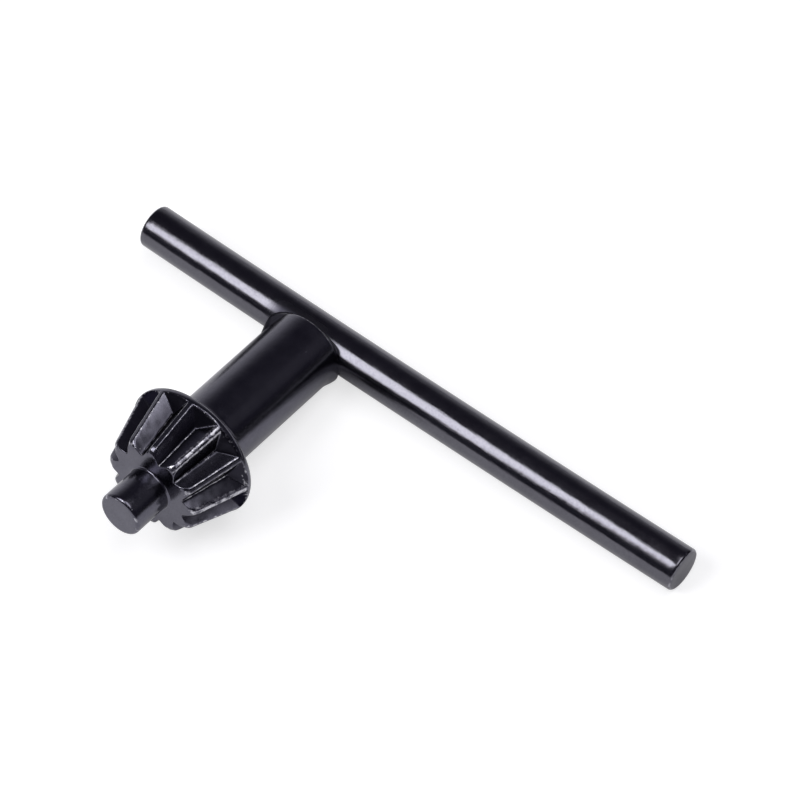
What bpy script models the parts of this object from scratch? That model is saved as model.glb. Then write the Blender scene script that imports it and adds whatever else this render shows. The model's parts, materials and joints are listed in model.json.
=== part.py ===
"""Drill chuck key: pilot, bevel pinion and shank forged as one, with a crossbar welded across the end.

The key is drawn in its own frame first. The shank's axis is Z, with the pilot pointing down, and the
crossbar's axis is X, through the origin. An empty then lays the key down as it comes to rest on a
table: on the pinion's rim, on the edge of the shank's end and on the end of the long arm.
"""
import math

import bmesh
import bpy
from mathutils import Matrix, Vector

MM = 0.001

# Crossbar, a length of round bar
BAR_DIAMETER = 5.9 * MM
LONG_ARM = 56.7 * MM
SHORT_ARM = 27.65 * MM
BAR_END_ROUND = 0.35 * MM

# Shank, from its end face at the bar to the sharp corner that the pinion's rim is rounded from
SHANK_DIAMETER = 10.3 * MM
SHANK_LENGTH = 22.2 * MM
SHANK_END_ROUND = 0.2 * MM

# Pinion blank: a cone from the front face to the rim, then a steep shoulder down to the shank
PINION_LENGTH = 8.35 * MM
PINION_FRONT_DIAMETER = 13.5 * MM
PINION_RIM_DIAMETER = 18.85 * MM
FRONT_EDGE_ROUND = 0.9 * MM
RIM_ROUND = 1.0 * MM
SHOULDER_ANGLE = math.radians(62.0)
SHOULDER_FILLET = 1.2 * MM

# Pilot, which turns in the hole of the chuck's body
PILOT_DIAMETER = 6.0 * MM
PILOT_LENGTH = 5.8 * MM
PILOT_EDGE_ROUND = 0.45 * MM
PILOT_BASE_FILLET = 0.3 * MM

# Teeth: V-shaped spaces that deepen a little towards the rim and run out there on a steep facet
TOOTH_COUNT = 12
CREST_WIDTH = 0.7 * MM
FRONT_DEPTH = 1.5 * MM
BACK_DEPTH = 1.8 * MM
ROOT_LENGTH = 6.45 * MM
ROOT_RADIUS = 0.3 * MM
RUN_OUT_ANGLE = math.radians(60.0)
CREST_TURN = math.radians(-2.5)

# Weld bead on the shank's end, inside a narrow ledge. It fills the wedge under both arms of the bar,
# and slopes from its full height beside the bar to its foot in front and behind. A gap parts its
# hollow from the bar.
WELD_LEDGE = 0.1 * MM
WELD_TAPER = 0.6 * MM
WELD_HEIGHT = 1.45 * MM
WELD_EDGE_ROUND = 0.35 * MM
WELD_CROWN_WIDTH = 4.9 * MM
WELD_FOOT_HEIGHT = 0.15 * MM
SEAT_GAP = 0.3 * MM

# Colour and roughness of the black oxide film on the forging and on the bar
FORGING_COLOUR = (0.045, 0.045, 0.052)
FORGING_ROUGHNESS = 0.30
BAR_COLOUR = (0.05, 0.05, 0.058)
BAR_ROUGHNESS = 0.26

# Fineness of the round surfaces
BODY_SEGMENTS = 96
BAR_SEGMENTS = 64
SEAT_SEGMENTS = 96
ARC_STEP = math.radians(20.0)
SPACE_STATIONS = 6
ROOT_STEPS = 4
MERGE_DISTANCE = 0.001 * MM
SMOOTH_ANGLE = math.radians(35.0)

# How far a cutter stands past the metal that it cuts
CUTTER_MARGIN = 0.25 * MM

# Heights along the shank's axis, down from the bar's axis
SHANK_END_Z = -BAR_DIAMETER / 2
RIM_Z = SHANK_END_Z - SHANK_LENGTH
FRONT_Z = RIM_Z - PINION_LENGTH
TIP_Z = FRONT_Z - PILOT_LENGTH
SHOULDER_Z = RIM_Z + (PINION_RIM_DIAMETER - SHANK_DIAMETER) / 2 / math.tan(SHOULDER_ANGLE)

# Slope of the blank's cone, and what the depth of a tooth space gains along its length
CONE_SLOPE = (PINION_RIM_DIAMETER - PINION_FRONT_DIAMETER) / 2 / PINION_LENGTH
DEPTH_SLOPE = (BACK_DEPTH - FRONT_DEPTH) / ROOT_LENGTH

# Radii of the weld bead, where it leaves the shank's end and at its top
WELD_BASE_RADIUS = SHANK_DIAMETER / 2 - WELD_LEDGE
WELD_TOP_RADIUS = WELD_BASE_RADIUS - WELD_TAPER

# Corners that the key rests on, as (radius, height, rounding)
SHANK_END_CORNER = (SHANK_DIAMETER / 2, SHANK_END_Z, SHANK_END_ROUND)
RIM_CORNER = (PINION_RIM_DIAMETER / 2, RIM_Z, RIM_ROUND)
LONG_END_CORNER = (BAR_DIAMETER / 2, LONG_ARM, BAR_END_ROUND)

# Corners of the turned body, from the weld down to the pilot's tip
BODY_CORNERS = [
    (0.0, SHANK_END_Z + WELD_HEIGHT, 0.0),
    (WELD_TOP_RADIUS, SHANK_END_Z + WELD_HEIGHT, WELD_EDGE_ROUND),
    (WELD_BASE_RADIUS, SHANK_END_Z, 0.0),
    SHANK_END_CORNER,
    (SHANK_DIAMETER / 2, SHOULDER_Z, SHOULDER_FILLET),
    RIM_CORNER,
    (PINION_FRONT_DIAMETER / 2, FRONT_Z, FRONT_EDGE_ROUND),
    (PILOT_DIAMETER / 2, FRONT_Z, PILOT_BASE_FILLET),
    (PILOT_DIAMETER / 2, TIP_Z, PILOT_EDGE_ROUND),
    (0.0, TIP_Z, 0.0),
]

# Corners of the crossbar, from the long arm's end to the short arm's
BAR_CORNERS = [
    (0.0, LONG_ARM, 0.0),
    LONG_END_CORNER,
    (BAR_DIAMETER / 2, -SHORT_ARM, BAR_END_ROUND),
    (0.0, -SHORT_ARM, 0.0),
]


def clear_scene():
    """Remove whatever the scene holds."""
    for item in list(bpy.data.objects):
        bpy.data.objects.remove(item, do_unlink=True)


def new_collection(name):
    """Add an empty collection to the scene."""
    group = bpy.data.collections.new(name)
    bpy.context.scene.collection.children.link(group)
    return group


def blackened_steel(name, colour, roughness):
    """Steel under a black oxide film, with the tint and the roughness of one piece."""
    material = bpy.data.materials.new(name)
    material.use_nodes = True
    shader = material.node_tree.nodes["Principled BSDF"]
    shader.inputs["Base Color"].default_value = (*colour, 1.0)
    shader.inputs["Roughness"].default_value = roughness
    shader.inputs["Metallic"].default_value = 1.0
    return material


def corner_arc(corners, place):
    """Centre of a corner's rounding, the arc's first point from there, and the angle that it turns."""
    index = corners.index(place)
    corner = Vector(place[:2])
    rounding = place[2]
    before = (Vector(corners[index - 1][:2]) - corner).normalized()
    after = (Vector(corners[index + 1][:2]) - corner).normalized()
    half = before.angle(after) / 2
    centre = corner + (before + after).normalized() * rounding / math.sin(half)
    first = corner + before * rounding / math.tan(half) - centre
    last = corner + after * rounding / math.tan(half) - centre
    turn = math.atan2(first.x * last.y - first.y * last.x, first.dot(last))
    return centre, first, turn


def rounded(corners):
    """Points (radius, height) of a profile, with an arc at each corner that has a rounding."""
    points = []
    for place in corners:
        radius, height, rounding = place
        if rounding == 0.0:
            points.append(Vector((radius, height)))
            continue
        centre, first, turn = corner_arc(corners, place)
        steps = math.ceil(abs(turn) / ARC_STEP)
        for step in range(steps + 1):
            points.append(centre + Matrix.Rotation(turn * step / steps, 2) @ first)
    return points


def turned(name, corners, segments, group):
    """A turned solid: the rounded profile, from top to bottom, spun about Z."""
    rows = [(point.x, 0.0, point.y) for point in rounded(corners)]
    links = [(row, row + 1) for row in range(len(rows) - 1)]
    mesh = bpy.data.meshes.new(name)
    mesh.from_pydata(rows, links, [])
    solid = bpy.data.objects.new(name, mesh)
    group.objects.link(solid)
    spin = solid.modifiers.new("Spin", "SCREW")
    spin.axis = "Z"
    spin.steps = segments
    spin.render_steps = segments
    spin.use_merge_vertices = True
    spin.merge_threshold = MERGE_DISTANCE
    return solid


def crest_radius(height):
    """Radius of the pinion's blank, and so of its tooth crests, at a height on the cone."""
    return PINION_FRONT_DIAMETER / 2 + CONE_SLOPE * (height - FRONT_Z)


def root_radius(height):
    """Radius of the bottom of the tooth spaces at a height."""
    return crest_radius(height) - FRONT_DEPTH - DEPTH_SLOPE * (height - FRONT_Z)


def space_section(height):
    """Outline (x, y) of one tooth space at a height, with the middle of the space on +X.

    Each flank is the line from the edge of the crest that touches the round of the root.
    """
    crest = crest_radius(height)
    half_angle = math.pi / TOOTH_COUNT - CREST_WIDTH / 2 / crest
    edge = Vector((crest * math.cos(half_angle), crest * math.sin(half_angle)))
    centre = Vector((root_radius(height) + ROOT_RADIUS, 0.0))
    to_edge = edge - centre
    reach = math.pi - math.atan2(to_edge.y, to_edge.x) - math.acos(ROOT_RADIUS / to_edge.length)
    root = []
    for step in range(ROOT_STEPS + 1):
        swing = reach * (2 * step / ROOT_STEPS - 1)
        root.append(centre + ROOT_RADIUS * Vector((-math.cos(swing), math.sin(swing))))
    top = edge + (edge - root[-1]).normalized() * CUTTER_MARGIN
    return [Vector((crest + CUTTER_MARGIN, 0.0)), Vector((top.x, -top.y)), *root, top]


def tooth_space(angle, group):
    """Cutter for one tooth space: a tapering trough, ended by the plane of its run-out facet."""
    run_out = FRONT_Z + ROOT_LENGTH
    rise = crest_radius(run_out) + 2 * CUTTER_MARGIN - root_radius(run_out)
    low = FRONT_Z - CUTTER_MARGIN
    high = run_out + rise / (math.tan(RUN_OUT_ANGLE) - CONE_SLOPE)
    shape = bmesh.new()
    rings = []
    for station in range(SPACE_STATIONS + 1):
        height = low + (high - low) * station / SPACE_STATIONS
        rings.append([shape.verts.new((point.x, point.y, height)) for point in space_section(height)])
    for below, above in zip(rings, rings[1:]):
        for side in range(len(below)):
            shape.faces.new((below[side - 1], below[side], above[side], above[side - 1]))
    shape.faces.new(reversed(rings[0]))
    shape.faces.new(rings[-1])
    everything = [*shape.verts, *shape.edges, *shape.faces]
    corner = (root_radius(run_out), 0.0, run_out)
    facet = (-math.cos(RUN_OUT_ANGLE), 0.0, math.sin(RUN_OUT_ANGLE))
    opened = bmesh.ops.bisect_plane(shape, geom=everything, plane_co=corner, plane_no=facet, clear_outer=True)
    rim = [item for item in opened["geom_cut"] if isinstance(item, bmesh.types.BMEdge)]
    bmesh.ops.edgeloop_fill(shape, edges=rim)
    bmesh.ops.recalc_face_normals(shape, faces=shape.faces)
    mesh = bpy.data.meshes.new("tooth_space")
    shape.to_mesh(mesh)
    shape.free()
    cutter = bpy.data.objects.new("tooth_space", mesh)
    cutter.rotation_euler.z = angle
    group.objects.link(cutter)


def bar_seat(group):
    """Cutter for the hollow that the bar lies in, across the shank's end."""
    shape = bmesh.new()
    radius = BAR_DIAMETER / 2 + SEAT_GAP
    bmesh.ops.create_cone(
        shape,
        cap_ends=True,
        segments=SEAT_SEGMENTS,
        radius1=radius,
        radius2=radius,
        depth=2 * SHANK_DIAMETER,
    )
    mesh = bpy.data.meshes.new("bar_seat")
    shape.to_mesh(mesh)
    shape.free()
    cutter = bpy.data.objects.new("bar_seat", mesh)
    cutter.rotation_euler.y = math.pi / 2
    group.objects.link(cutter)


def weld_slope(side, group):
    """Cutter that slopes the weld bead down on one side of the bar, where side is 1 or -1."""
    crown = WELD_CROWN_WIDTH / 2
    fall = math.atan2(WELD_HEIGHT - WELD_FOOT_HEIGHT, WELD_BASE_RADIUS - crown)
    shape = bmesh.new()
    bmesh.ops.create_cube(shape, size=2 * SHANK_DIAMETER)
    bmesh.ops.translate(shape, vec=(0.0, side * SHANK_DIAMETER, SHANK_DIAMETER), verts=shape.verts)
    mesh = bpy.data.meshes.new("weld_slope")
    shape.to_mesh(mesh)
    shape.free()
    cutter = bpy.data.objects.new("weld_slope", mesh)
    cutter.location = (0.0, side * crown, SHANK_END_Z + WELD_HEIGHT)
    cutter.rotation_euler.x = -side * fall
    group.objects.link(cutter)


def cut(solid, cutters):
    """Take every cutter of a collection out of a solid."""
    removal = solid.modifiers.new("Cut", "BOOLEAN")
    removal.operation = "DIFFERENCE"
    removal.operand_type = "COLLECTION"
    removal.collection = cutters
    removal.solver = "EXACT"


def finish(solid):
    """Keep what the modifiers made as the solid's own mesh, smooth up to its edges."""
    scene_state = bpy.context.evaluated_depsgraph_get()
    mesh = bpy.data.meshes.new_from_object(solid.evaluated_get(scene_state))
    solid.modifiers.clear()
    solid.data = mesh
    mesh.shade_smooth()
    mesh.set_sharp_from_angle(angle=SMOOTH_ANGLE)


def make_body(parts, cutters):
    """The forging: pilot, pinion, shank and the weld bead that the bar is set in."""
    body = turned("pinion_shank", BODY_CORNERS, BODY_SEGMENTS, parts)
    pitch = 2 * math.pi / TOOTH_COUNT
    for space in range(TOOTH_COUNT):
        tooth_space(CREST_TURN + (space + 0.5) * pitch, cutters)
    bar_seat(cutters)
    for side in (1, -1):
        weld_slope(side, cutters)
    for cutter in cutters.objects:
        cutter.hide_render = True
        cutter.display_type = "WIRE"
    cut(body, cutters)
    finish(body)
    body.data.materials.append(blackened_steel("black_oxide_forging", FORGING_COLOUR, FORGING_ROUGHNESS))
    return body


def make_bar(parts):
    """The crossbar, turned about its own length and laid along X."""
    bar = turned("crossbar", BAR_CORNERS, BAR_SEGMENTS, parts)
    finish(bar)
    bar.rotation_euler.y = math.pi / 2
    bar.data.materials.append(blackened_steel("black_oxide_bar", BAR_COLOUR, BAR_ROUGHNESS))
    return bar


def lean(run, rise, offset):
    """Angle at which run * sin(angle) - rise * cos(angle) equals the offset."""
    return math.atan2(rise, run) + math.asin(offset / math.hypot(run, rise))


def resting_turn():
    """Rotation that lays the key on its three touching edges, the long arm along +X.

    Each edge is a circle with a rounding about it. Two equal heights above the table give the
    shank's slope, and the height of the long arm's end then gives the bar's.
    """
    rim_centre = corner_arc(BODY_CORNERS, RIM_CORNER)[0]
    end_centre = corner_arc(BODY_CORNERS, SHANK_END_CORNER)[0]
    arm_centre = corner_arc(BAR_CORNERS, LONG_END_CORNER)[0]
    between = end_centre - rim_centre
    shank_slope = lean(between.y, -between.x, RIM_ROUND - SHANK_END_ROUND)
    bar_height = end_centre.x * math.cos(shank_slope) + end_centre.y * math.sin(shank_slope)
    bar_height += SHANK_END_ROUND
    bar_slope = lean(arm_centre.y, -arm_centre.x, bar_height - BAR_END_ROUND)
    along_bar = -math.sin(bar_slope)
    along_shank = -math.sin(shank_slope)
    up = Vector((along_bar, -math.sqrt(1 - along_bar**2 - along_shank**2), along_shank))
    forward = (Vector((1.0, 0.0, 0.0)) - up * along_bar).normalized()
    return Matrix((forward, up.cross(forward), up)).to_4x4()


def lay_down(pieces, group):
    """Parent the pieces to an empty that rests the key on the ground, centred over the origin."""
    rest = bpy.data.objects.new("rest_pose", None)
    group.objects.link(rest)
    for piece in pieces:
        piece.parent = rest
    turn = resting_turn()
    corners = [turn @ piece.matrix_basis @ vertex.co for piece in pieces for vertex in piece.data.vertices]
    low = Vector(map(min, zip(*corners)))
    high = Vector(map(max, zip(*corners)))
    middle = (low + high) / 2
    rest.matrix_world = Matrix.Translation((-middle.x, -middle.y, -low.z)) @ turn


def main():
    """Build the key."""
    clear_scene()
    parts = new_collection("drill_chuck_key")
    cutters = new_collection("cutters")
    body = make_body(parts, cutters)
    bar = make_bar(parts)
    lay_down([body, bar], parts)
    bpy.context.view_layer.update()


if __name__ == "__main__":
    main()
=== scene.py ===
"""A drill chuck key as it looks in the hand: a blackened steel forging with a crossbar welded on.

Every length inside the classes is in millimetres, in the key's own axes: Z runs up the shank from the
pilot to the crossbar, X runs along the crossbar, and both axes cross where the two pieces meet.
"""

import json
import logging
import math
from dataclasses import dataclass, field
from enum import Enum

import bpy
import numpy as np
from mathutils import Matrix, Vector, noise


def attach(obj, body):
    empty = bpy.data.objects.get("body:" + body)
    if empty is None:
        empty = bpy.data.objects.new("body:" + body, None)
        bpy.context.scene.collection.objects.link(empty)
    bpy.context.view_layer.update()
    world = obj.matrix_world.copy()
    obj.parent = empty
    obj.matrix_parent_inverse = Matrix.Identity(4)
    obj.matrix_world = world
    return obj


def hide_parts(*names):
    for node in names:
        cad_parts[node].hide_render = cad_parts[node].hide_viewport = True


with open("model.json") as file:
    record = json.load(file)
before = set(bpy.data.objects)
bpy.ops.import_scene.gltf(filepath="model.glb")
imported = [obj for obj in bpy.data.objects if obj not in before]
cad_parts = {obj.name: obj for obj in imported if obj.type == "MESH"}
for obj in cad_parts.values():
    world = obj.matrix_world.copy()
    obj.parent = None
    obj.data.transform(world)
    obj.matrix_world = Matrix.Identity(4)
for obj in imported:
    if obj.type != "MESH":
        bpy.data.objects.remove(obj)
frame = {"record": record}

LOG = logging.getLogger("chuck_key")
MM = 0.001
ROOT_BODY = "root"
FULL_TURN = 2 * math.pi

WHITE = "#FFFFFF"
RANGE_INPUTS = ("Value", "From Min", "From Max", "To Min", "To Max")

Socket = bpy.types.NodeSocket
Point = tuple[float, float]


def linear(colour: str) -> tuple[float, float, float, float]:
    """Turns an sRGB hex colour into linear light.

    Args:
        colour: Six hex digits after a hash sign.

    Returns:
        Red, green, blue and an alpha of one.
    """
    # The numbers below are those of the sRGB standard's own curve
    parts = [int(colour[start : start + 2], 16) / 255 for start in (1, 3, 5)]
    light = [part / 12.92 if part <= 0.04045 else ((part + 0.055) / 1.055) ** 2.4 for part in parts]
    return (light[0], light[1], light[2], 1.0)


def add_node(
    tree: bpy.types.NodeTree,
    kind: str,
    settings: dict[str, object] | None = None,
    inputs: dict[str | int, object] | None = None,
) -> bpy.types.Node:
    """Adds a node, sets its properties, and fills or links its inputs.

    Args:
        tree: The node tree that the node goes into.
        kind: Blender's type name of the node.
        settings: Values for the node's own properties.
        inputs: For each input, by name or number, a socket to link from or a value to set.

    Returns:
        The new node.
    """
    node = tree.nodes.new(kind)
    for name, value in (settings or {}).items():
        setattr(node, name, value)
    for name, value in (inputs or {}).items():
        if isinstance(value, Socket):
            tree.links.new(value, node.inputs[name])
        else:
            node.inputs[name].default_value = value
    return node


def eased(share: float) -> float:
    """Eases a share from 0 to 1, so that it starts and ends gently."""
    return share**2 * (3 - 2 * share)


def smooth_least(
    first: np.ndarray, second: np.ndarray, width: np.ndarray | float
) -> tuple[np.ndarray, np.ndarray]:
    """Takes the lesser of two arrays, with a rounded corner where they cross.

    Args:
        first: One array of radii.
        second: The other array of radii.
        width: Difference of the two, in millimetres, below which the corner is rounded.

    Returns:
        The rounded lesser values, and how near each is to the corner, from 0 to 1.
    """
    near = np.clip(1 - np.abs(first - second) / width, 0, 1)
    return np.minimum(first, second) - near**2 * width / 4, near


def smooth_most(first: np.ndarray, second: np.ndarray, width: float) -> np.ndarray:
    """Takes the greater of two arrays, with a filleted corner where they cross."""
    return -smooth_least(-first, -second, width)[0]


def ripple(points: np.ndarray, pitch: float) -> np.ndarray:
    """Reads a smooth noise at a list of points.

    Args:
        points: Points in millimetres, with the coordinates last.
        pitch: Distance over which the noise changes, in millimetres.

    Returns:
        A value from about -1 to 1 for each point.
    """
    flat = points.reshape(-1, 3) / pitch
    return np.array([noise.noise(Vector(point)) for point in flat]).reshape(points.shape[:-1])


@dataclass(frozen=True)
class Corner:
    """A corner of a turned profile.

    Attributes:
        radius: Distance from the axis.
        height: Place along the axis.
        rounding: Radius of the arc that rounds the corner.
        steps: Number of faces along the arc.
    """

    radius: float
    height: float
    rounding: float = 0.0
    steps: int = 0

    def arc(self, before: "Corner", after: "Corner") -> list[Point]:
        """Finds the points along the rounding.

        Args:
            before: The corner before this one.
            after: The corner after it.

        Returns:
            The arc's points, or the corner alone where it is sharp.
        """
        corner = Vector((self.radius, self.height))
        if self.rounding == 0.0:
            return [tuple(corner)]
        back = (Vector((before.radius, before.height)) - corner).normalized()
        ahead = (Vector((after.radius, after.height)) - corner).normalized()
        half = back.angle(ahead) / 2
        centre = corner + (back + ahead).normalized() * self.rounding / math.sin(half)
        first = corner + back * self.rounding / math.tan(half) - centre
        last = corner + ahead * self.rounding / math.tan(half) - centre
        turn = math.atan2(first.x * last.y - first.y * last.x, first.dot(last))
        shares = [step / self.steps for step in range(self.steps + 1)]
        return [tuple(centre + Matrix.Rotation(turn * share, 2) @ first) for share in shares]


def profile(corners: list[Corner]) -> np.ndarray:
    """Lists the points of a turned profile, without its first and last corner.

    Args:
        corners: Corners from one end of the axis to the other. The two end ones only give directions.

    Returns:
        Rows of radius and height.
    """
    points: list[Point] = []
    for before, corner, after in zip(corners, corners[1:], corners[2:]):
        points.extend(corner.arc(before, after))
    return np.array(points)


def filled(points: np.ndarray, longest: float) -> np.ndarray:
    """Adds points along the long straights of a profile.

    Args:
        points: Rows of radius and height.
        longest: Greatest distance between two neighbours.

    Returns:
        The profile with its straights divided evenly.
    """
    rows = [points[0]]
    for start, end in zip(points, points[1:]):
        parts = max(1, math.ceil(float(np.hypot(*(end - start))) / longest))
        rows.extend(start + (end - start) * part / parts for part in range(1, parts + 1))
    return np.array(rows)


@dataclass(frozen=True)
class KeyAxes:
    """The key's own axes as they lie in the row frame.

    Attributes:
        place: Matrix from the key's axes, in millimetres, to the row frame, in metres.
    """

    place: Matrix

    @classmethod
    def from_record(cls, record: dict, mount: str, reach: float) -> "KeyAxes":
        """Reads the axes off a mount on the shank's axis. The crossbar lies level from front to back.

        Args:
            record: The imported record.
            mount: Name of the mount on the pilot's end.
            reach: Distance from the crossbar's axis to that mount, in millimetres.

        Returns:
            The key's axes.
        """
        end = next(item for item in record["mounts"] if item["name"] == mount)
        down = Vector(end["axis"]).normalized()
        along = Vector((down.z, 0.0, -down.x)).normalized()
        turn = Matrix((along, along.cross(down), -down)).transposed().to_4x4()
        crossing = Vector(end["pos_m"]) - down * reach * MM
        return cls(Matrix.Translation(crossing) @ turn @ Matrix.Scale(MM, 4))

    def piece(
        self, name: str, rows: np.ndarray, ends: tuple[Vector, Vector], marks: dict[str, np.ndarray]
    ) -> bpy.types.Object:
        """Makes a closed piece from rows of points that run round it, with a point at each end.

        Args:
            name: Name of the piece.
            rows: Points in the key's axes, as an array of rows, columns and coordinates.
            ends: The points that close the piece before the first row and after the last.
            marks: Values from 0 to 1 for each point of the rows, kept on the mesh under their names.

        Returns:
            The piece, with its points in the row frame.
        """
        count, around = rows.shape[:2]
        points = np.vstack([np.array(ends[0])[None], rows.reshape(-1, 3), np.array(ends[1])[None]])
        here = 1 + np.arange((count - 1) * around).reshape(count - 1, around)
        beside = np.roll(here, -1, axis=1)
        quads = np.stack([here, beside, beside + around, here + around], axis=-1).reshape(-1, 4)
        first = np.arange(1, around + 1)
        last = first + (count - 1) * around
        start_cap = np.stack([np.zeros(around, int), np.roll(first, -1), first], axis=-1)
        end_cap = np.stack([last, np.roll(last, -1), np.full(around, len(points) - 1)], axis=-1)
        matrix = np.array(self.place)
        placed = points @ matrix[:3, :3].T + matrix[:3, 3]
        mesh = bpy.data.meshes.new(name)
        mesh.from_pydata(placed.tolist(), [], [*quads.tolist(), *start_cap.tolist(), *end_cap.tolist()])
        mesh.shade_smooth()
        own = mesh.attributes.new("key_mm", "FLOAT_VECTOR", "POINT")
        own.data.foreach_set("vector", points.ravel())
        for mark, values in marks.items():
            layer = mesh.attributes.new(mark, "FLOAT", "POINT")
            layer.data.foreach_set("value", np.concatenate([values[0, :1], values.ravel(), values[-1, :1]]))
        piece = bpy.data.objects.new(name, mesh)
        bpy.context.scene.collection.objects.link(piece)
        return piece


@dataclass
class Ring:
    """One row of points round the shank's axis.

    Attributes:
        turn: Angle of each point about the axis.
        radius: Distance of each point from the axis.
        height: Height of each point along the axis.
        wear_and_highlight: How far each point is rubbed bright, with the highlight painted along the tooth
            roots.
        dull_and_shade: How thick and dull the film is at each point, with the shade painted into the tooth
            hollows.
    """

    turn: np.ndarray
    radius: np.ndarray | float
    height: np.ndarray | float
    wear_and_highlight: np.ndarray | float = 0.0
    dull_and_shade: np.ndarray | float = 0.0

    def points(self) -> np.ndarray:
        """The ring's points in the key's axes."""
        radius, height = self.level(self.radius), self.level(self.height)
        return np.stack([radius * np.cos(self.turn), radius * np.sin(self.turn), height], axis=-1)

    def level(self, value: np.ndarray | float) -> np.ndarray:
        """The value at each point, where one value may stand for the whole ring."""
        return value * np.ones(len(self.turn))


class Grain(Enum):
    """Which way the marks of making run on a surface, as scales along the key's X, Y and Z."""

    DRAWN = (0.12, 1.0, 1.0)
    TURNED = (0.2, 0.2, 1.6)
    MELTED = (1.0, 1.0, 1.0)


@dataclass(frozen=True)
class BlackOxideSteel:
    """Steel under a film of black oxide, oiled after its bath.

    The film is a thin crystalline layer of magnetite, so the surface stays a metal that mirrors lamps
    faintly, dark violet grey and glossy. Handling thins the film on high edges and bright steel shows, and
    the same bright steel is painted along the tooth roots as a highlight. A darker film that mirrors less
    stands for the thicker film on cropped ends and weld metal, and is painted shade in the tooth hollows and
    on the bar beside the joint.

    Attributes:
        name: Name of the finish.
        film: Colour of the oiled film, seen straight on.
        thin: Colour of the film where it is thin.
        thick_and_shade: Colour of the film where it is thick and dull, also used as painted shade in the
            tooth hollows and beside the joint.
        glance: Tint of the reflection where the film is thick and dull, and where shade is painted.
        bright: Colour of the bare steel at rubbed edges, and of the highlight painted along the tooth roots.
        roughness: Roughness of the film.
        dull_roughness: Roughness of the film where it is thick, and where shade is painted.
        worn_roughness: Roughness of the worn steel.
        grain: Direction of the marks of making.
        grain_pitch: Distance between those marks, in millimetres. Real ones are finer and wouldn't show.
        grain_depth: Height of those marks, in millimetres.
        dent_pitch: Distance between the shallow dents and ripples, in millimetres.
        dent_depth: Height of the dents, in millimetres.
        wear: How strongly worn edges show, from 0 to 1.
        patch_pitch: Size of the lighter and darker patches of film, in millimetres.
        patch_span: Values of the patches' noise at which the film is at its darkest and its lightest.
        patch_gloss: How much the roughness differs between the patches, as a share.
        chip_pitch: Size of the chips along worn edges, in millimetres.
        chip_swing: How strongly the chips break up the wear.
        bare_span: Wear at which the steel starts to show, and at which it is bare.
        crystal_pitch: Size of the film's specks, in millimetres. Real crystals are far too fine to show.
        crystal_span: Values of the specks' noise at which a speck starts and is full.
        crystal_share: How far a full speck has the thick film's colour.
        fine_share: Strength of each finer layer of a noise beside the one before it.
    """

    name: str
    film: str
    thin: str
    thick_and_shade: str
    glance: str
    bright: str
    roughness: float
    dull_roughness: float
    worn_roughness: float
    grain: Grain
    grain_pitch: float
    grain_depth: float
    dent_pitch: float
    dent_depth: float
    wear: float
    patch_pitch: float = 2.2
    patch_span: Point = (0.3, 0.7)
    patch_gloss: float = 0.12
    chip_pitch: float = 0.5
    chip_swing: float = 2.6
    bare_span: Point = (0.5, 1.05)
    crystal_pitch: float = 0.22
    crystal_span: Point = (0.35, 0.75)
    crystal_share: float = 0.22
    fine_share: float = 0.6

    def material(self) -> bpy.types.Material:
        """Builds the finish as a Blender material.

        Returns:
            The material.
        """
        made = bpy.data.materials.new(self.name)
        made.use_nodes = True
        tree = made.node_tree
        shader = tree.nodes["Principled BSDF"]
        shader.inputs["Metallic"].default_value = 1.0
        # Marks read here: bright wear, which includes a painted highlight along the tooth roots, and a darker
        # film, which is partly painted shade
        own, wear_and_highlight, dull_and_shade = (
            add_node(tree, "ShaderNodeAttribute", {"attribute_name": mark}).outputs[output]
            for mark, output in (("key_mm", "Vector"), ("wear_and_highlight", "Fac"), ("dull_and_shade", "Fac"))
        )
        scaled = {0: own, 1: self.grain.value}
        drawn_out = add_node(tree, "ShaderNodeVectorMath", {"operation": "MULTIPLY"}, scaled).outputs[0]

        # Each noise has the place that it follows, its pitch in millimetres and its number of finer layers
        noises = (
            (drawn_out, self.grain_pitch, 3.0),
            (own, self.dent_pitch, 2.0),
            (own, self.patch_pitch, 4.0),
            (own, self.chip_pitch, 3.0),
            (own, self.crystal_pitch, 1.0),
        )
        marks, dents, patches, chips, specks = (
            add_node(
                tree,
                "ShaderNodeTexNoise",
                inputs={"Vector": place, "Scale": 1 / pitch, "Detail": layers, "Roughness": self.fine_share},
            ).outputs["Fac"]
            for place, pitch, layers in noises
        )
        swing = {0: chips, 1: self.chip_swing, 2: -self.chip_swing / 2}
        broken = add_node(tree, "ShaderNodeMath", {"operation": "MULTIPLY_ADD"}, swing).outputs[0]
        broken = add_node(tree, "ShaderNodeMath", {"operation": "ADD"}, {0: broken, 1: wear_and_highlight}).outputs[0]

        # Each range has the value that it follows, that value's two ends, and what the range gives there
        gloss = (self.roughness * (1 - self.patch_gloss), self.roughness * (1 + self.patch_gloss))
        ranges = (
            (broken, self.bare_span, (0.0, self.wear)),
            (patches, self.patch_span, (0.0, 1.0)),
            (specks, self.crystal_span, (0.0, self.crystal_share)),
            (patches, self.patch_span, gloss),
        )
        bare, lighter, speckled, rough = (
            add_node(
                tree,
                "ShaderNodeMapRange",
                inputs=dict(zip(RANGE_INPUTS, (value, *span, *given))),
            ).outputs["Result"]
            for value, span, given in ranges
        )

        # Each layer covers by its share what lies under it
        colour, tinted, plain = linear(self.film), {"data_type": "RGBA"}, {"data_type": "FLOAT"}
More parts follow.
